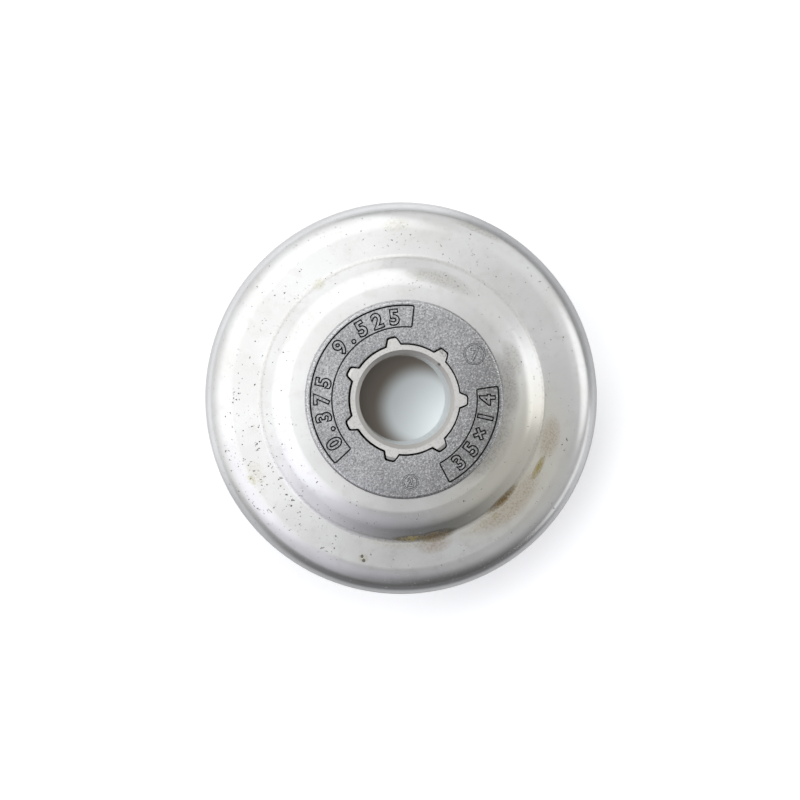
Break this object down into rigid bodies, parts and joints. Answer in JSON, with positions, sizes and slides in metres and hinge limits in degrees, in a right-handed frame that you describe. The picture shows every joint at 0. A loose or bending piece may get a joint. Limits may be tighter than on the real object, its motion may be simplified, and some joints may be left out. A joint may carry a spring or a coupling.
{
  "type": "chainsaw clutch drum with rim sprocket",
  "caption": "Pressed steel clutch drum, open underneath, with a brazed-in splined hub that carries a floating rim sprocket for the saw chain and has an open bore for a needle bearing.",
  "frame": {"origin": "centre of the drum's open edge, on the surface that the drum stands on", "axes": "+Z along the crankshaft axis, from the open edge towards the sprocket; +X towards the first spline, at the picture's right"},
  "size_m": [0.074, 0.074, 0.0406],
  "materials": {
    "drum_steel": "bright pressed sheet steel with a dull tumbled surface, small pits and rust stains",
    "hub_steel": "turned and hardened steel, plain",
    "rim_cast_steel": "grey cast steel with a fine grain, bright on worn edges"
  },
  "bodies": {
    "drum": {"drum_cup": "drum_steel", "splined_hub": "hub_steel"},
    "rim": {"rim_sprocket": "rim_cast_steel"}
  },
  "joints": [
    {"name": "rim_float", "type": "slide", "parent": "drum", "child": "rim", "axis": [0, 0, 1], "range_m": [0, 0.003]}
  ]
}
